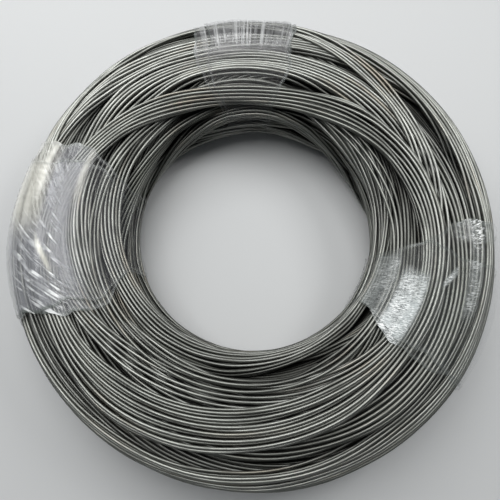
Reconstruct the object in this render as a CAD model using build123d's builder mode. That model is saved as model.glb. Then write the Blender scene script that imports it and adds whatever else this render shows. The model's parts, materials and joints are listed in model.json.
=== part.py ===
"""Coil of stainless steel wire, laid flat and held by three bands of clear film.

Millimetres, +Z up. The origin is the centre of the bore on the floor that the coil lies on.
Bearings are degrees about +Z, from +X towards +Y.
"""

from build123d import *

import os
from math import degrees

# Wire and how it is laid
wire_diameter = 4.0
turns_per_lay = 8
furrow_depth = 5.0
furrow_width = 10.0

# Coil
bore_diameter = 320.0
coil_diameter = 630.0
coil_height = 120.0
bore_rounding = 48.0
rim_rounding = 50.0

# Film bands, each of several wraps drawn round the bundle, tight but for some slack round the rim
film_thickness = 0.5
film_clearance = 0.3
edge_clearance = 0.5
film_corner_spans = 2
far_band_slack = 1.0
left_band_slack = 7.0
right_band_slack = 6.0
far_band_bearing = 90.0
far_band_span = 30.0
left_band_bearing = 180.0
left_band_span = 48.0
right_band_bearing = 334.0
right_band_span = 26.0

# Sizes worked out from those above
bore_radius = bore_diameter / 2
coil_radius = coil_diameter / 2
lay_width = wire_diameter * turns_per_lay
film_seat_depth = film_thickness + film_clearance
foot_inner_radius = bore_radius + bore_rounding
foot_outer_radius = coil_radius - rim_rounding
bands = [
    ("film_band_far", far_band_bearing, far_band_span, far_band_slack),
    ("film_band_left", left_band_bearing, left_band_span, left_band_slack),
    ("film_band_right", right_band_bearing, right_band_span, right_band_slack),
]


def radial_plane(bearing):
    """The upright plane at a bearing: its x runs outwards from the coil's axis, its y upwards."""
    outwards = Vector(1, 0, 0).rotate(Axis.Z, bearing)
    sideways = Vector(0, -1, 0).rotate(Axis.Z, bearing)
    return Plane(origin=(0, 0, 0), x_dir=outwards, z_dir=sideways)


def under(path, share, depth):
    """A point at a depth under a stretch of the outline, which has the bundle on its right."""
    along = path % share
    return path @ share + Vector(along.Y, -along.X) * depth


def lays(path):
    """The lays along a stretch of the outline: before each one a furrow, then its two shoulders.
    A stretch too short for a lay of its own has only its middle."""
    count = round(path.length / lay_width)
    half_furrow = furrow_width / 2 / path.length
    points = []
    for index in range(count):
        start = index / count
        end = (index + 1) / count
        points += [under(path, start, furrow_depth), path @ (start + half_furrow), path @ (end - half_furrow)]
    return points or [path @ 0.5]


# The bundle's outline: up from the bore's wall, over the top, down the rim, along the foot and up
with BuildLine():
    inner_shoulder = JernArc((bore_radius, coil_height - bore_rounding), (0, 1), bore_rounding, -90)
    top = Line(inner_shoulder @ 1, (foot_outer_radius, coil_height))
    outer_shoulder = JernArc(top @ 1, (1, 0), rim_rounding, -90)
    side = Line(outer_shoulder @ 1, (coil_radius, rim_rounding))
    outer_heel = JernArc(side @ 1, (0, -1), rim_rounding, -90)
    foot = Line(outer_heel @ 1, (foot_inner_radius, 0))
    inner_heel = JernArc(foot @ 1, (-1, 0), bore_rounding, -90)
outline = [inner_shoulder, top, outer_shoulder, side, outer_heel, foot, inner_heel]

# Section of the free bundle: lays all round, with a plain wall to the bore
with BuildSketch() as free_section:
    with BuildLine():
        laid = [point for stretch in outline for point in lays(stretch)]
        last_furrow = under(inner_heel, 1, furrow_depth)
        Polyline(inner_shoulder @ 0, *laid, last_furrow, inner_heel @ 1, close=True)
    make_face()


def film_outline(slack):
    """Outline of the film, which spans straight along the flats and in a few spans round each corner.
    Round the rim it stands off the turns by its slack."""
    points = []
    for corner, stand in [(inner_shoulder, 0), (outer_shoulder, slack), (outer_heel, slack), (inner_heel, 0)]:
        for span in range(film_corner_spans + 1):
            share = span / film_corner_spans
            points.append(under(corner, share, -stand * 4 * share * (1 - share)))
    with BuildSketch() as sketch:
        with BuildLine():
            Polyline(*points, close=True)
        make_face()
    return sketch.sketch


# Section of the bundle under a film band, where the film draws the turns in
with BuildSketch() as seat_section:
    add(film_outline(0))
    offset(amount=-film_seat_depth, kind=Kind.INTERSECTION)

# Coil of wire: free lengths from each band to the next, and a seat under each band
with BuildPart() as wire_coil:
    for index, (_, bearing, span, _) in enumerate(bands):
        _, next_bearing, next_span, _ = bands[(index + 1) % len(bands)]
        band_end = bearing + span / 2
        free_span = (next_bearing - next_span / 2 - band_end) % 360
        with BuildSketch(radial_plane(bearing - span / 2)):
            add(seat_section.sketch)
        revolve(axis=Axis.Z, revolution_arc=span)
        with BuildSketch(radial_plane(band_end)):
            add(free_section.sketch)
        revolve(axis=Axis.Z, revolution_arc=free_span)


def film_band(name, bearing, span, slack):
    """A closed band of film round the bundle, seated between the lays on either side."""
    side_gap = degrees(edge_clearance / bore_radius)
    with BuildSketch() as film_section:
        add(film_outline(slack))
        offset(amount=-film_thickness, kind=Kind.INTERSECTION, mode=Mode.SUBTRACT)
    with BuildPart() as band:
        with BuildSketch(radial_plane(bearing - span / 2 + side_gap)):
            add(film_section.sketch)
        revolve(axis=Axis.Z, revolution_arc=span - 2 * side_gap)
    band.part.label = name
    return band.part


os.makedirs("parts", exist_ok=True)
wire_coil.part.label = "wire_coil"
export_step(wire_coil.part, "parts/wire_coil.step")
for name, bearing, span, slack in bands:
    export_step(film_band(name, bearing, span, slack), f"parts/{name}.step")
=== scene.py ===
"""Coil of stainless steel wire, loosely laid and held by three bands of clear stretch film.

Metres, +Z up. The origin is the centre of the bore, on the floor that the coil lies on.
Bearings are radians about +Z, from +X towards +Y. A place in the bundle's section is a
radius from the coil's axis and a height above the floor.
"""

import json
import math

import bmesh
import bpy
import numpy as np
from mathutils import Matrix, Vector


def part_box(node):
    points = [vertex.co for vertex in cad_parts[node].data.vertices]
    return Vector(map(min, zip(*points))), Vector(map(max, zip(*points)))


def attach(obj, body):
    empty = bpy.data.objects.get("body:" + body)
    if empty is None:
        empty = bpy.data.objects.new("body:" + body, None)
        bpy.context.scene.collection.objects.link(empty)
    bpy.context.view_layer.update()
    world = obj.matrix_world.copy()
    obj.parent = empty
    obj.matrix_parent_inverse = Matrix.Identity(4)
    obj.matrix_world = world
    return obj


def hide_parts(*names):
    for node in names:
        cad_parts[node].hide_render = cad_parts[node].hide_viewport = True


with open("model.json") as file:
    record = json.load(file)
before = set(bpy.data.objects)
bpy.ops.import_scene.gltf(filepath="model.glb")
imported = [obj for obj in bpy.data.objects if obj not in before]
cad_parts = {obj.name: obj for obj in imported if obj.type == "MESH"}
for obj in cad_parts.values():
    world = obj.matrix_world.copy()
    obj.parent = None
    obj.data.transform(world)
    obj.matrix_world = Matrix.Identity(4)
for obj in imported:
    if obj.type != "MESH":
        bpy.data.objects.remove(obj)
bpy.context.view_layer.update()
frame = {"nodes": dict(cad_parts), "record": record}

MM = 0.001

# The bundle, as wide and as high as the solid coil. Distances along the outline of its section
# are measured at the mid depth, which is about the middle of the outer turns. Each rounding has a
# number of points
bundle_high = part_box("wire_coil")[1]
coil_radius = bundle_high.x
coil_height = bundle_high.z
bore_radius = frame["record"]["mounts"][0]["dims"]["r_mm"] * MM
bore_rounding = 48 * MM
rim_rounding = 50 * MM
corner_points = 25
mid_depth = 7.0 * MM

# Wire
wire_radius = 2.0 * MM
turn_steps = 144
wire_sides = 6

# Lays of turns, added until there are enough turns: how many turns side by side and how many
# layers deep, both up to one less than the second number, and how far apart
enough_turns = 345
lay_widths = (3, 10)
lay_layers = (1, 3)
turn_pitch = 4.08 * MM

# How far lays drift over the section and fan out, and turns wander, in waves round the coil. They
# lie quite loose from this far past a film band
lay_drifts = (13 * MM, 38 * MM)
lay_waves = (1, 2)
lay_fan = 0.4
fan_swing = 0.6
turn_wander = 0.6 * MM
turn_waves = (2, 3, 5)
loose_from = math.radians(28)

# A lay goes where the bundle is lowest, of a number of places tried. How low is judged at one in
# so many stations, leaving out the shallowest few percent of the lay
lay_tries = 24
lay_shallows = 10
try_step = 12
deepest_turn = 18.0 * MM

# How far a turn keeps clear of the ones it passes over: it bends no tighter than this, in metres
# per radian squared. The reach and the easing are in stations
turn_stations = 432
turn_bend = 0.09
bend_reach = 24
bend_ease = 4

# Where the lays stack up they press down on the ones below, until they stand out of the outline by
# no more than this. Cells are steps along the outline, and the reaches are in cells and stations
turn_stand = 2.0 * MM
press_cells = 200
press_reach = (3, 6)

# Inner turns, seen only between the lays, with full shade painted on them
inner_depth = 22.0 * MM
inner_ribs = 88
rib_points = 3
inner_steps = 96
inner_tone = 0.3

# How much of a turn's tone it shares with its lay, and how fast painted shade grows with depth
lay_tone_share = 0.6
painted_shade_curve = 0.7

# Film, which bends over the crests of the turns in arcs of these radii, on the roundings and on
# the flats, and keeps off the floor. It has a number of points round the bundle, and a step from
# one row of them to the next
film_arc_round = 0.055
film_arc_flat = 0.25
film_lowest = 0.2 * MM
film_girth_points = 200
film_step = 2.4 * MM

# How far a band keeps its width in the bore, from 0 for the same angle all round to 1 for the same
# width, and what share of it bunches up there
film_keeps_width = 0.6
film_bunches = 0.4

# A wrap's shift and cover are shares of the band's width. It leans by its slant, stands off the
# turns, hangs slack round the rim, and may fan out there towards its far end
film_wraps = {
    "far": [
        dict(shift=0.0, cover=0.90, slant=0.04, stand=0.2 * MM, slack=0.0, fan=0.0),
        dict(shift=-0.06, cover=0.78, slant=-0.06, stand=1.2 * MM, slack=2.0 * MM, fan=0.0),
    ],
    "left": [
        dict(shift=0.0, cover=0.92, slant=0.04, stand=0.2 * MM, slack=1.0 * MM, fan=0.0),
        dict(shift=0.05, cover=0.80, slant=-0.08, stand=1.2 * MM, slack=5.0 * MM, fan=0.0),
    ],
    "right": [
        dict(shift=0.0, cover=0.90, slant=0.05, stand=0.2 * MM, slack=1.0 * MM, fan=0.0),
        dict(shift=-0.05, cover=0.78, slant=-0.09, stand=1.2 * MM, slack=5.0 * MM, fan=0.9),
    ],
}

# Waves in a wrap's edges: how far they reach, how many go round the bundle, and how far they are
# out of step from one edge to the other
edge_waves = [(0.05, 3, 1), (0.03, 7, 2), (0.015, 17, 3)]

# Pleats: how many across the band, how many they slant by in one round, how sharp and how high
# they are, and whether they gather in the bore and are lower outside. They sway as they run
film_pleats = [
    (7, 2, 3, 1.0 * MM, True),
    (12, 28, 3, 0.5 * MM, False),
    (17, -5, 2, 0.5 * MM, True),
    (31, 9, 2, 0.25 * MM, False),
]
pleat_sway = 0.35
pleats_outside = 0.4

# How milky film is where it is smooth and clear, how much glint is painted on it there, and how
# far along the outline its slanted marks shift by half the band's width
clear_milk = 0.01
clear_glint = 0.02
mark_slant = 40 * MM


# Section of the bundle

def arc(radius, height, rounding, start):
    """A quarter of a circle in the section, clockwise from a start in degrees, and the ways
    outwards along it."""
    turn = np.radians(np.linspace(start, start - 90, corner_points))
    facing = np.stack([np.cos(turn), np.sin(turn)], -1)
    return np.array([radius, height]) + facing * (rounding - mid_depth), facing


corners = [
    arc(bore_radius + bore_rounding, coil_height - bore_rounding, bore_rounding, 180),
    arc(coil_radius - rim_rounding, coil_height - rim_rounding, rim_rounding, 90),
    arc(coil_radius - rim_rounding, rim_rounding, rim_rounding, 0),
    arc(bore_radius + bore_rounding, bore_rounding, bore_rounding, -90),
]
outline = np.concatenate([places for places, _ in corners] + [corners[0][0][:1]])
outline_facing = np.concatenate([facing for _, facing in corners] + [corners[0][1][:1]])
outline_run = np.concatenate([[0], np.cumsum(np.hypot(*np.diff(outline, axis=0).T))])
girth = outline_run[-1]

# The outline's stretches: each rounding, and the flat after it
stretch_names = [
    "inner_shoulder", "top", "outer_shoulder", "rim", "outer_heel", "foot", "inner_heel", "bore",
]


def run_at(stretch, share):
    """The distance along the outline at a share of one of its stretches, less than 0 on the inner
    heel and in the bore."""
    corner, flat = divmod(stretch_names.index(stretch), 2)
    start = corner * corner_points + flat * (corner_points - 1)
    end = start + (1 if flat else corner_points - 1)
    run = outline_run[start] + (outline_run[end] - outline_run[start]) * share
    return run - girth if corner == 3 else run


def at_outline(along, kept):
    """What the outline's points keep, at distances along it."""
    return np.stack([np.interp(along % girth, outline_run, kept[:, k]) for k in (0, 1)], -1)


def facing_at(along):
    """The way outwards at distances along the section's outline."""
    return at_outline(along, outline_facing)


def in_section(along, depth):
    """Places at distances along the section's outline and depths under it."""
    sunk = np.asarray(depth)[..., None] - mid_depth
    return at_outline(along, outline) - facing_at(along) * sunk


def smooth(share):
    """A share from 0 to 1, with soft ends."""
    share = np.clip(share, 0, 1)
    return share * share * (3 - 2 * share)


# Film bands, as far round the coil as their solids

def band_reach(node):
    """The bearing of a band's middle and half the angle that it covers."""
    low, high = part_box(node)
    middle = math.atan2(low.y + high.y, low.x + high.x)
    turned = [math.atan2(v.co.y, v.co.x) - middle for v in frame["nodes"][node].data.vertices]
    return middle, max(abs(math.remainder(turn, math.tau)) for turn in turned)


bands = {side: band_reach("film_band_" + side) for side in ("far", "left", "right")}
bearings = np.arange(turn_stations) * math.tau / turn_stations


def looseness(bearing):
    """0 under a film band, rising to 1 in the free lengths between bands."""
    loose = np.ones_like(bearing)
    for middle, half in bands.values():
        off = np.abs((bearing - middle + math.pi) % math.tau - math.pi) - half
        loose = np.minimum(loose, off / loose_from)
    return smooth(loose)


# Laying the turns

rng = np.random.default_rng(44)
loose = looseness(bearings)


def wander(count, reach, waves):
    """Closed wanders round the coil, each a sum of a few waves of falling size."""
    total = np.zeros((count, turn_stations))
    for wave in waves:
        swing = rng.normal(0, reach / wave, (count, 1))
        total += swing * np.sin(wave * bearings + rng.uniform(0, math.tau, (count, 1)))
    return total


def lay_paths(middle, width, layers):
    """Where a lay's turns run along the outline: side by side, a second layer in the furrows
    between them, and fanned out where they are loose."""
    path = middle + wander(1, rng.uniform(*lay_drifts), lay_waves)
    fan = 1 + rng.uniform(0, lay_fan) * loose * (1 + wander(1, fan_swing, lay_waves))
    rows = [np.arange(count) - (count - 1) / 2 for count in range(width, width - layers, -1)]
    beside = np.concatenate(rows)[:, None] * turn_pitch
    wandering = wander(len(beside), turn_wander, turn_waves) * loose
    return path + beside * np.maximum(fan, 1) + wandering


def resting_depth(along, laid, step=1):
    """How deep under the outline a turn comes to lie on the turns already laid, or on the inner
    turns."""
    along = along[::step]
    out = facing_at(along)
    apart = laid[:, ::step] - in_section(along, 0)
    up = apart[..., 0] * out[:, 0] + apart[..., 1] * out[:, 1]
    aside = apart[..., 1] * out[:, 0] - apart[..., 0] * out[:, 1]
    rise = (2 * wire_radius) ** 2 - aside ** 2
    contact = np.where(rise > 0, up + np.sqrt(np.maximum(rise, 0)), -deepest_turn)
    return np.minimum(-contact.max(0, initial=-deepest_turn), deepest_turn)


def eased(depth):
    """Lifts a turn where it would bend too tightly over the ones below, as a stiff wire does."""
    step = math.tau / turn_stations
    reach = range(-bend_reach, bend_reach + 1)
    lifted = np.min([np.roll(depth, shift) + turn_bend * (shift * step) ** 2 for shift in reach], 0)
    return np.mean([np.roll(lifted, shift) for shift in range(-bend_ease, bend_ease + 1)], 0)


def room_for(paths, width, laid):
    """How deep a lay would come to lie where it lies shallowest, by its two edges and its
    middle."""
    rests = [resting_depth(paths[turn], laid, try_step) for turn in (0, width // 2, width - 1)]
    return sum(np.percentile(depth, lay_shallows) for depth in rests)


def lay_all():
    """Lays one lay after another on the inner turns, each where the bundle is lowest of a few
    places. Gives the turns' distances along the outline, their depths and their lays."""
    laid = np.zeros((0, turn_stations, 2))
    runs, depths, lays = [], [], []
    while len(runs) < enough_turns:
        width = int(rng.integers(*lay_widths))
        layers = min(int(rng.integers(*lay_layers)), width)
        tries = [lay_paths(rng.uniform(0, girth), width, layers) for _ in range(lay_tries)]
        room = [room_for(paths, width, laid) for paths in tries]
        lay = lays[-1] + 1 if lays else 0
        for along in tries[int(np.argmax(room))]:
            depth = eased(resting_depth(along, laid))
            laid = np.concatenate([laid, in_section(along, depth)[None]])
            runs.append(along)
            depths.append(depth)
            lays.append(lay)
    return np.array(runs), np.array(depths), np.array(lays)


def filtered(field, reach, how):
    """A field over the outline and round the coil, filtered both ways."""
    for axis, count in enumerate(reach):
        shifts = range(-count, count + 1)
        field = how([np.roll(field, shift, axis) for shift in shifts], axis=0)
    return field


def pressed(runs, depths):
    """The depths once the lays have pressed down on the ones below, all by the same at one place.
    On the foot and in the bore no turn stands out of the outline."""
    shallowest = 2 * turn_stand * np.maximum(0, -facing_at(runs).min(-1)) - turn_stand
    cell = np.floor(runs / girth * press_cells).astype(int) % press_cells
    station = np.broadcast_to(np.arange(turn_stations), cell.shape)
    excess = np.zeros((press_cells, turn_stations))
    np.maximum.at(excess, (cell, station), np.maximum(shallowest - depths, 0))
    excess = filtered(filtered(excess, press_reach, np.max), press_reach, np.mean)
    place = runs / girth * press_cells - 0.5
    low = np.floor(place).astype(int)
    share = place - low
    pressing = excess[low % press_cells, station] * (1 - share)
    return depths + pressing + excess[(low + 1) % press_cells, station] * share


# Meshes

def circle_in_section(points, radius):
    """A bmesh of a circle that stands across the coil's turns, 1 m from the axis."""
    bm = bmesh.new()
    bmesh.ops.create_circle(
        bm, segments=points, radius=radius,
        matrix=Matrix.Translation((1, 0, 0)) @ Matrix.Rotation(math.pi / 2, 4, "X"),
    )
    return bm


def spun(bm, steps, angle=math.tau):
    """Spins a bmesh's outline round the axis, all the way or by an angle."""
    bmesh.ops.spin(
        bm, geom=bm.verts[:] + bm.edges[:], axis=(0, 0, 1), cent=(0, 0, 0),
        angle=angle, steps=steps, use_merge=angle == math.tau,
    )
    bmesh.ops.recalc_face_normals(bm, faces=bm.faces[:])
    return bm


def mesh_of(bm, name):
    """A mesh of a bmesh, which is done with."""
    mesh = bpy.data.meshes.new(name)
    bm.to_mesh(mesh)
    bm.free()
    return mesh


def finished(bm, name):
    """A smooth shaded object of a bmesh, at the origin."""
    mesh = mesh_of(bm, name)
    mesh.shade_smooth()
    piece = bpy.data.objects.new(name, mesh)
    bpy.context.scene.collection.objects.link(piece)
    return piece


def places_of(mesh):
    """The mesh's vertices as an array."""
    flat = np.empty(len(mesh.vertices) * 3, np.float32)
    mesh.vertices.foreach_get("co", flat)
    return flat.reshape(-1, 3).astype(float)


def set_places(mesh, places):
    """Moves the mesh's vertices to an array of places."""
    mesh.vertices.foreach_set("co", places.astype(np.float32).ravel())
    mesh.update()


def round_coil(radius, bearing, height):
    """Places in space from radii, bearings and heights."""
    return np.stack([radius * np.cos(bearing), radius * np.sin(bearing), height], -1)


def keep_numbers(mesh, name, numbers):
    """Keeps one number for each vertex, for the finish to read."""
    kept = mesh.attributes.new(name, "FLOAT", "POINT")
    kept.data.foreach_set("value", numbers.astype(np.float32))


def wire_turns(name, places, tones, painted_shade):
    """A piece of many turns of wire, each a ring bent along its own way round the coil. Keeps each
    turn's tone, and how much shade is painted on it along its length, by how deep it lies."""
    template = mesh_of(spun(circle_in_section(wire_sides, wire_radius), turn_steps), name)
    at = places_of(template)
    bearing = np.arctan2(at[:, 1], at[:, 0]) % math.tau
    step = np.rint(bearing / math.tau * turn_steps).astype(int) % turn_steps
    section = np.stack([np.hypot(at[:, 0], at[:, 1]) - 1, at[:, 2]], -1)
    bm = bmesh.new()
    for _ in places:
        bm.from_mesh(template)
    bpy.data.meshes.remove(template)
    piece = finished(bm, name)
    laid = places[:, step] + section
    set_places(piece.data, round_coil(laid[..., 0], bearing, laid[..., 1]).reshape(-1, 3))
    keep_numbers(piece.data, "tone", np.repeat(tones, len(at)))
    # How much shade is painted on each vertex, by how deep its turn lies
    keep_numbers(piece.data, "painted_shade", painted_shade[:, step].ravel())
    return piece


def inner_turns():
    """The turns further in, as one ring whose section is ribbed by them, in full painted shade."""
    points = inner_ribs * rib_points
    along = np.arange(points) / points * girth
    crest = np.abs(np.sin(np.arange(points) * math.pi / rib_points)) * wire_radius
    bm = circle_in_section(points, coil_height / 4)
    for vert, (radius, height) in zip(bm.verts, in_section(along, inner_depth - crest)):
        vert.co = (radius, 0, height)
    piece = finished(spun(bm, inner_steps), "wire_turns_inner")
    keep_numbers(piece.data, "tone", np.full(len(piece.data.vertices), inner_tone))
    # Full painted shade all over
    keep_numbers(piece.data, "painted_shade", np.ones(len(piece.data.vertices)))
    return piece


runs, depths, lays = lay_all()
depths = pressed(runs, depths)
laid = np.maximum(in_section(runs, depths), [bore_radius + wire_radius, wire_radius])
lay_tone = rng.uniform(0, 1, lays.max() + 1)
own_tone = rng.uniform(0, 1, len(lays))
tones = lay_tone_share * lay_tone[lays] + (1 - lay_tone_share) * own_tone
# Shade painted on each turn, stronger the deeper it lies
painted_shade = np.clip(depths / deepest_turn, 0, 1) ** painted_shade_curve

# The turns by where most of them lie, round the section from under the foot
region_ends = {
    "wire_turns_foot": run_at("inner_heel", 0.5),
    "wire_turns_bore": run_at("inner_shoulder", 0.5),
    "wire_turns_top": run_at("top", 1.0),
    "wire_turns_shoulder": run_at("outer_shoulder", 1.0),
    "wire_turns_rim": run_at("outer_heel", 0.6),
}
foot_start = region_ends["wire_turns_rim"] - girth
mean_run = (runs.mean(1) - foot_start) % girth + foot_start
region = np.searchsorted(list(region_ends.values()), mean_run)
wire_pieces = []
every = turn_stations // turn_steps
for number, name in enumerate(region_ends):
    chosen = region == number
    wire_pieces.append(
        wire_turns(name, laid[chosen, ::every], tones[chosen], painted_shade[chosen, ::every])
    )
wire_pieces.append(inner_turns())


# Film

wrap_seam = run_at("foot", 0.5)


def within(value, low, high, soft):
    """1 between two values, falling to 0 over a soft margin on either side."""
    above = np.clip((value - low) / soft + 1, 0, 1)
    below = np.clip((high - value) / soft + 1, 0, 1)
    return smooth(above * below)


def between(run, start, end, soft):
    """1 between two places on the outline, each a stretch and a share of it."""
    return within(run, run_at(*start), run_at(*end), soft)


def pleats(across, share, count, slant, sharp):
    """Pleats that run along the film, from 0 between them to 1 on their crests."""
    sway = pleat_sway * np.sin(share * math.tau * 2 + 3 * across)
    phase = count * across + slant * share + sway
    return (1 - np.abs(np.sin(math.pi * phase))) ** sharp


# How milky and how white each band is, and how much glint is painted on it, at distances along
# the outline and across the band, from -1 at one edge to 1 at the other

def far_looks(run, across):
    """The far band: hazy by the rim, with painted highlights there in streaks, clear inside."""
    hazy = between(run, ("top", 0.8), ("rim", 1), 25 * MM)
    # Painted highlights in streaks near the rim
    streaked = between(run, ("top", 0.9), ("outer_shoulder", 0.7), 20 * MM)
    milk = clear_milk + 0.19 * hazy
    white = np.zeros_like(run)
    glint = clear_glint + 0.45 * streaked
    return milk, white, glint


def left_looks(run, across):
    """The left band: hazy outside, with two strips of painted sheen at its far end and wrinkles
    with painted glints for the rest, one of them a very bright painted highlight. Clear inside."""
    hazy = between(run, ("top", 0.5), ("rim", 0.5), 22 * MM)
    far_end = within(across, -1.5, -0.3, 0.5)
    # Painted sheen: two cream-white strips at the far end
    outer_sheen_strip = between(run, ("outer_shoulder", 0.1), ("outer_shoulder", 0.6), 14 * MM)
    outer_sheen_strip *= far_end
    inner_sheen_strip = between(run, ("top", 0.25), ("top", 0.3), 6 * MM)
    inner_sheen_strip *= within(across, -1.5, -0.5, 0.3)
    # Painted glints on the wrinkles
    wrinkle_glints = between(run, ("top", 0.75), ("outer_shoulder", 0.3), 12 * MM)
    wrinkle_glints *= 1 - 0.75 * far_end
    slanted = across + (run - run_at("top", 0.95)) / mark_slant
    # A very bright painted highlight on one fold
    bright = between(run, ("top", 0.85), ("top", 1), 6 * MM) * within(slanted, 0.26, 0.34, 0.08)
    white = np.clip(0.9 * outer_sheen_strip + 0.7 * inner_sheen_strip + bright, 0, 1)
    milk = clear_milk + 0.26 * hazy + 0.22 * white
    glint = clear_glint + 0.1 * hazy + 0.8 * wrinkle_glints
    return milk, white, glint


def right_looks(run, across):
    """The right band: clear, with a white crinkled patch and a hazy ridge on its near half. On the
    other half it has a torn scrap, glints by the rim and a torn, crinkled edge. Glints are
    painted on all of them."""
    near_end = within(across, -1.2, -0.5, 0.7)
    patch = between(run, ("inner_shoulder", 0.85), ("top", 0.2), 7 * MM)
    patch *= within(across, -1.2, 0.25, 0.3)
    ridge = between(run, ("inner_shoulder", 0.38), ("inner_shoulder", 0.66), 7 * MM)
    ridge *= within(across, -1.2, 0.5, 0.4)
    slanted = across - (run - run_at("top", 0.65)) / mark_slant
    scrap = between(run, ("top", 0.6), ("top", 0.75), 4 * MM) * within(slanted, 0.45, 0.5, 0.1)
    # Painted glints by the rim
    rim = between(run, ("outer_shoulder", 0.08), ("outer_shoulder", 0.14), 6 * MM)
    rim *= within(across, 0.2, 2, 0.4)
    torn = between(run, ("top", 0.75), ("outer_shoulder", 0.35), 8 * MM)
    torn *= within(across, 1.3, 2, 0.1)
    milk = clear_milk + (0.12 + 0.18 * near_end) * patch + 0.16 * ridge
    milk += 0.3 * scrap + 0.15 * torn + 0.12 * rim
    # Painted glints on the patch, scrap, torn edge, rim and ridge
    glint = 0.01 + clear_glint + (0.65 + 0.3 * near_end) * patch + 0.7 * scrap
    glint += 0.35 * torn + 0.55 * rim + 0.4 * ridge
    return milk, patch, glint


film_looks = {"far": far_looks, "left": left_looks, "right": right_looks}


def rounded(run):
    """1 on the outline's roundings, 0 on its flats."""
    starts = range(0, 4 * corner_points, corner_points)
    ends = [(outline_run[start], outline_run[start + corner_points - 1]) for start in starts]
    return np.clip(sum(within(run % girth, *pair, 12 * MM) for pair in ends), 0, 1)


def crest_depth(run, bearing):
    """How deep film drawn tight over the turns lies: it spans from crest to crest, straight on the
    flats but for a slight sag, and as a chord round the roundings."""
    step = bearing / math.tau * turn_stations
    flat_bend = 0.5 / film_arc_flat
    bend = flat_bend + rounded(run)[:, None] * (0.5 / film_arc_round - flat_bend)
    depth = 0
    for station, weight in ((np.floor(step), 1 - step % 1), (np.floor(step) + 1, step % 1)):
        station = station.astype(int) % turn_stations
        apart = (run[:, None] - runs.T[station] + girth / 2) % girth - girth / 2
        depth += weight * (depths.T[station] - wire_radius + apart ** 2 * bend).min(1)
    return depth


def draw_on(side, at, shift, cover, slant, stand, slack, fan):
    """Draws a strip's points on round the bundle, a little askew, bunched in the bore, pleated and
    with wavy edges. Gives their places, their places on the film, how milky and white it is there,
    how much glint is painted on it, and where its edges are."""
    middle, half = bands[side]
    across = np.arctan2(at[:, 1], at[:, 0]) * 2 - 1
    share = np.arctan2(at[:, 2], 1 - np.hypot(at[:, 0], at[:, 1])) / math.tau % 1
    run = wrap_seam - girth + share * girth
    waves = rng.uniform(0, math.tau, 4)

    # Across the band
    bunched = between(run, ("inner_heel", 0.5), ("inner_shoulder", 0.3), 55 * MM)
    edge = sum(
        reach * np.sin(math.tau * share * count + wave + out_of_step * across)
        for (reach, count, out_of_step), wave in zip(edge_waves, waves)
    )
    lean = slant * np.sin(math.tau * share + waves[3])
    widening = (coil_radius / in_section(run, 0)[:, 0]) ** film_keeps_width
    width = cover * across * widening * (1 + edge) * (1 - film_bunches * bunched)
    film_across = shift + width + lean
    fanned = between(run, ("outer_shoulder", 0.2), ("foot", 0), 110 * MM)
    film_across += fan * (across + 1) / 2 * fanned
    bearing = middle + half * film_across

    # Off the turns
    rise = sum(
        pleats(across, share, count, slanting, sharp) * height
        * (pleats_outside + bunched if gathered else 1)
        for count, slanting, sharp, height, gathered in film_pleats
    )
    by_rim = between(run, ("outer_shoulder", 0.5), ("rim", 1), 40 * MM)
    rise += slack * by_rim * (0.65 + 0.35 * np.sin(3 * across + waves[0]))
    section = in_section(run, crest_depth(run, bearing) - stand - rise)
    section = np.maximum(section, film_lowest)
    places = round_coil(section[:, 0], bearing, section[:, 1])

    looks = film_looks[side](run, film_across)
    border = within(np.abs(across), 0.98, 1.1, 0.04) * (1 - 0.6 * looks[1])
    mean_radius = (bore_radius + coil_radius) / 2
    on_film = np.stack([film_across * half * mean_radius, run, np.full(len(run), stand)], -1)
    return places, on_film, *looks, border


def film_band(side):
    """A band of film: its wraps, one over the other. Keeps how milky and white it is, how much
    glint is painted on it, and where its edges are."""
    half = bands[side][1]
    bm = bmesh.new()
    drawn = []
    for wrap in film_wraps[side]:
        steps = round(2 * half * wrap["cover"] * coil_radius / film_step)
        strip = circle_in_section(film_girth_points, coil_height / 4)
        strip = mesh_of(spun(strip, steps, angle=1), "strip")
        drawn.append(draw_on(side, places_of(strip), **wrap))
        bm.from_mesh(strip)
        bpy.data.meshes.remove(strip)
    piece = finished(bm, "film_" + side)
    places, on_film, *looks = (np.concatenate(part) for part in zip(*drawn))
    set_places(piece.data, places)
    for name, numbers in zip(("milk", "white", "glint", "border"), looks):
        keep_numbers(piece.data, name, numbers)
    kept = piece.data.attributes.new("on_film", "FLOAT_VECTOR", "POINT")
    kept.data.foreach_set("vector", on_film.astype(np.float32).ravel())
    return piece


film_pieces = {side: film_band(side) for side in bands}


# Finishes

class Value:
    """A number that varies over a surface. Sums, products and powers of such numbers add Math
    nodes."""

    def __init__(self, finish, socket):
        self.finish = finish
        self.socket = socket

    def __add__(self, other):
        return self.finish.maths("ADD", self, other)

    def __radd__(self, other):
        return self.finish.maths("ADD", other, self)

    def __mul__(self, other):
        return self.finish.maths("MULTIPLY", self, other)

    def __rmul__(self, other):
        return self.finish.maths("MULTIPLY", other, self)

    def __pow__(self, other):
        return self.finish.maths("POWER", self, other)

    def __rpow__(self, other):
        return self.finish.maths("POWER", other, self)


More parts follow.
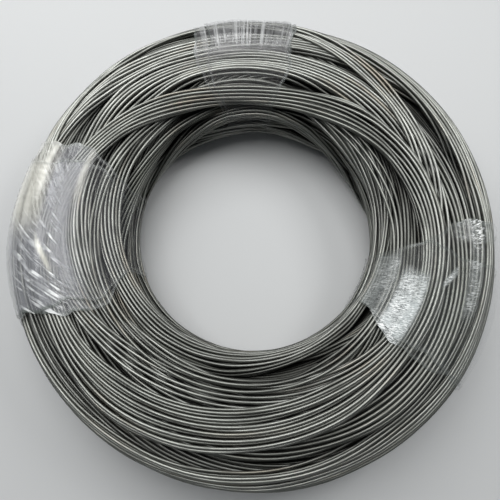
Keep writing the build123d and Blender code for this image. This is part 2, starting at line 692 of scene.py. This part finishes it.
class Finish:
    """A node material under construction, with one Principled shader."""

    def __init__(self, name, **fixed):
        self.material = bpy.data.materials.new(name)
        self.material.use_nodes = True
        self.tree = self.material.node_tree
        self.shader = self.tree.nodes["Principled BSDF"]
        for socket, value in fixed.items():
            self.shader.inputs[socket.replace("_", " ")].default_value = value

    def node(self, kind, settings, sockets):
        """A node with its settings, and values or links on its sockets."""
        made = self.tree.nodes.new(kind)
        for name, value in settings.items():
            setattr(made, name, value)
        for key, value in sockets.items():
            self.feed(made.inputs[key], value)
        return made

    def feed(self, socket, value):
        """Links a socket to a value that varies, or sets it to a fixed one."""
        if isinstance(value, Value):
            self.tree.links.new(value.socket, socket)
        elif isinstance(value, bpy.types.NodeSocket):
            self.tree.links.new(value, socket)
        else:
            socket.default_value = value

    def show(self, **looks):
        """Feeds the shader's sockets."""
        for socket, value in looks.items():
            self.feed(self.shader.inputs[socket.replace("_", " ")], value)

    def maths(self, operation, first, second):
        """A Math node's result on two numbers."""
        node = self.node("ShaderNodeMath", {"operation": operation}, {0: first, 1: second})
        return Value(self, node.outputs[0])

    def place(self):
        """Object coordinates."""
        return self.node("ShaderNodeTexCoord", {}, {}).outputs["Object"]

    def kept(self, name):
        """A number kept on the mesh."""
        node = self.node("ShaderNodeAttribute", {"attribute_name": name}, {})
        return Value(self, node.outputs["Fac"])

    def kept_place(self, name):
        """A place kept on the mesh."""
        node = self.node("ShaderNodeAttribute", {"attribute_name": name}, {})
        return node.outputs["Vector"]

    def parts(self, place):
        """The three numbers of a place."""
        node = self.node("ShaderNodeSeparateXYZ", {}, {0: place})
        return [Value(self, socket) for socket in node.outputs]

    def at(self, first, second, third):
        """A place of three numbers."""
        node = self.node("ShaderNodeCombineXYZ", {}, {0: first, 1: second, 2: third})
        return node.outputs[0]

    def noise(self, place, detail=3.0):
        """Cloudy variation from 0 to 1, in clouds about 1 across."""
        node = self.node(
            "ShaderNodeTexNoise", {}, {"Vector": place, "Scale": 1.0, "Detail": detail},
        )
        return Value(self, node.outputs["Fac"])

    def ramp(self, share, low, high):
        """A value carried from low..high to 0..1, smoothly."""
        node = self.node(
            "ShaderNodeMapRange", {"interpolation_type": "SMOOTHSTEP"},
            {"Value": share, "From Min": low, "From Max": high},
        )
        return Value(self, node.outputs["Result"])

    def blend(self, share, first, second):
        """A colour between two."""
        node = self.node("ShaderNodeMix", {"data_type": "RGBA"}, {0: share, 6: first, 7: second})
        return node.outputs[2]

    def bump(self, height, distance):
        """The surface's direction over bumps of a height from 0 to 1, and a distance in metres."""
        node = self.node("ShaderNodeBump", {}, {"Height": height, "Distance": distance})
        return node.outputs["Normal"]


steel_dark = (0.11, 0.115, 0.1, 1)
steel_light = (0.44, 0.45, 0.42, 1)
steel_warm = (0.3, 0.262, 0.205, 1)
steel_dull = (0.14, 0.145, 0.13, 1)
# Colour of the painted shade on deep turns
steel_painted_shade = (0.02, 0.02, 0.018, 1)


def steel_finish():
    """Drawn stainless wire: satin grey with fine lines along it, each turn a little lighter or
    darker, warmer or duller in places, with shade painted on where it lies deep."""
    finish = Finish("drawn_steel", Metallic=1.0)
    x, y, z = finish.parts(finish.place())
    radius = (x * x + y * y) ** 0.5
    bearing = finish.maths("ARCTAN2", y, x)
    tone = finish.kept("tone")
    dull = finish.ramp(finish.noise(finish.at(x * 28, y * 28, z * 28 + tone * 9)), 0.45, 0.75)
    warm = finish.ramp(finish.noise(finish.at(x * 9, y * 9, z * 9 + tone * 7)), 0.55, 0.8)
    drawn = finish.noise(finish.at(radius * 900, z * 900, bearing * 10 + tone * 30), detail=1.0)
    grey = finish.blend(tone, steel_dark, steel_light)
    tinted = finish.blend(warm * 0.7, grey, steel_warm)
    dulled = finish.blend(dull * 0.35, tinted, steel_dull)
    finish.show(
        # Painted shade darkens the turns that lie deep
        Base_Color=finish.blend(finish.kept("painted_shade") * 0.85, dulled, steel_painted_shade),
        Roughness=0.36 + 0.18 * dull + 0.1 * drawn,
        Normal=finish.bump(drawn, 0.02 * MM),
    )
    return finish.material


# Film's finish, by band: its colours where it is hazy and where it is white, milky or painted
# sheen, how crowded the glints painted on its crinkles are and how far they lean, how many there
# are in a metre across and in a metre along, and how many clumps of them
film_tints = {
    "far": dict(
        # The far band's haze is darker than the others': painted shade on the far side
        haze=(0.28, 0.28, 0.285, 1), white_and_sheen=(0.5, 0.5, 0.51, 1),
        crowd=0.1, lean=0.06, fine=330, long=5, clump=8,
    ),
    "left": dict(
        haze=(0.42, 0.43, 0.46, 1), white_and_sheen=(0.94, 0.93, 0.84, 1),
        crowd=0.06, lean=1.2, fine=170, long=22, clump=70,
    ),
    "right": dict(
        haze=(0.38, 0.41, 0.4, 1), white_and_sheen=(0.74, 0.8, 0.8, 1),
        crowd=0.11, lean=-0.45, fine=800, long=220, clump=70,
    ),
}
film_edge = (0.16, 0.18, 0.17, 1)
# Colour of the painted glints
film_painted_glint = (0.92, 0.94, 0.93, 1)

# Each wrap has crinkles of its own: how far off in the pattern, for each metre that it stands off
wrap_apart = 9000


def film_finish(name, haze, white_and_sheen, crowd, lean, fine, long, clump):
    """Clear stretch film: see-through where it is smooth, milky where it bunches, with glints
    painted on its crinkles as bright lines, painted sheen in some white parts, and thin edges that
    show."""
    finish = Finish(name, Coat_Weight=1.0, Coat_Roughness=0.12, Coat_IOR=1.5)
    across, run, wrap = finish.parts(finish.kept_place("on_film"))
    milk = finish.kept("milk")
    border = finish.kept("border")
    layer = wrap * wrap_apart
    cloud = finish.ramp(finish.noise(finish.at(across * 16, run * 100, layer)), 0.3, 0.7)
    sideways = (across + run * lean) * fine
    crinkle = finish.noise(finish.at(sideways, run * long, layer), detail=2.0)
    clumps = finish.noise(finish.at(across * 80, run * clump, layer + 5.0), detail=2.0)
    crowded = 0.3 + 0.7 * finish.ramp(clumps, 0.38, 0.6)
    # Painted glints: crinkle lines made near white and opaque
    lines = finish.ramp(crinkle, 0.58 - crowd, 0.69 - crowd) * crowded * finish.kept("glint")
    # White parts: milky bunched film on the right band, painted sheen on the left
    hazy = finish.blend(finish.kept("white"), haze, white_and_sheen)
    edged = finish.blend(border, hazy, film_edge)
    finish.show(
        Base_Color=finish.blend(lines, edged, film_painted_glint),
        Alpha=0.02 + milk * (0.4 + 1.2 * cloud) + 0.8 * lines + 0.28 * border,
        Roughness=0.15 + 0.3 * milk,
        Normal=finish.bump(crinkle, 0.4 * MM),
    )
    return finish.material


steel = steel_finish()
for piece in wire_pieces:
    piece.data.materials.append(steel)
    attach(piece, "root")
    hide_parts("wire_coil")
for side, piece in film_pieces.items():
    piece.data.materials.append(film_finish("stretch_film_" + side, **film_tints[side]))
    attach(piece, "root")
    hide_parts("film_band_" + side)


# Studio

def studio_floor():
    """A plain pale floor, level with the coil's foot."""
    bm = bmesh.new()
    bmesh.ops.create_grid(bm, x_segments=1, y_segments=1, size=20)
    floor = finished(bm, "floor")
    finish = Finish("pale_floor", Roughness=0.8, Base_Color=(0.62, 0.63, 0.63, 1))
    floor.data.materials.append(finish.material)


def lamp(name, place, size, power, aim=(0, 0, 0)):
    """A square soft light."""
    data = bpy.data.lights.new(name, "AREA")
    data.size = size
    data.energy = power
    light = bpy.data.objects.new(name, data)
    light.location = place
    light.rotation_euler = (Vector(aim) - Vector(place)).to_track_quat("-Z", "Y").to_euler()
    bpy.context.scene.collection.objects.link(light)


def studio_camera():
    """Close above the near side of the coil, looking down and a little away."""
    data = bpy.data.cameras.new("camera")
    data.lens = 30.4
    data.shift_x = 0.013
    data.shift_y = -0.03
    data.clip_start = 0.01
    camera = bpy.data.objects.new("camera", data)
    place = (-0.013, -0.155, 0.623)
    tilt = math.radians(14.8)
    roll = math.radians(-2.7)
    turn = Matrix.Rotation(tilt, 4, "X") @ Matrix.Rotation(roll, 4, "Z")
    camera.matrix_world = Matrix.Translation(place) @ turn
    bpy.context.scene.collection.objects.link(camera)
    bpy.context.scene.camera = camera


def studio_world():
    """Faint even light from all round."""
    world = bpy.data.worlds.new("studio")
    world.use_nodes = True
    background = world.node_tree.nodes["Background"]
    background.inputs["Color"].default_value = (0.86, 0.9, 0.94, 1)
    background.inputs["Strength"].default_value = 0.14
    bpy.context.scene.world = world


studio_floor()
lamp("key", place=(-0.3, 0.6, 1.5), size=1.5, power=24)
lamp("fill", place=(1.1, 0.55, 1.3), size=0.6, power=9)
lamp("back", place=(-1.0, 1.1, 0.8), size=0.8, power=4, aim=(0, 0, 0.05))
studio_camera()
studio_world()
bpy.context.scene.view_settings.view_transform = "Standard"
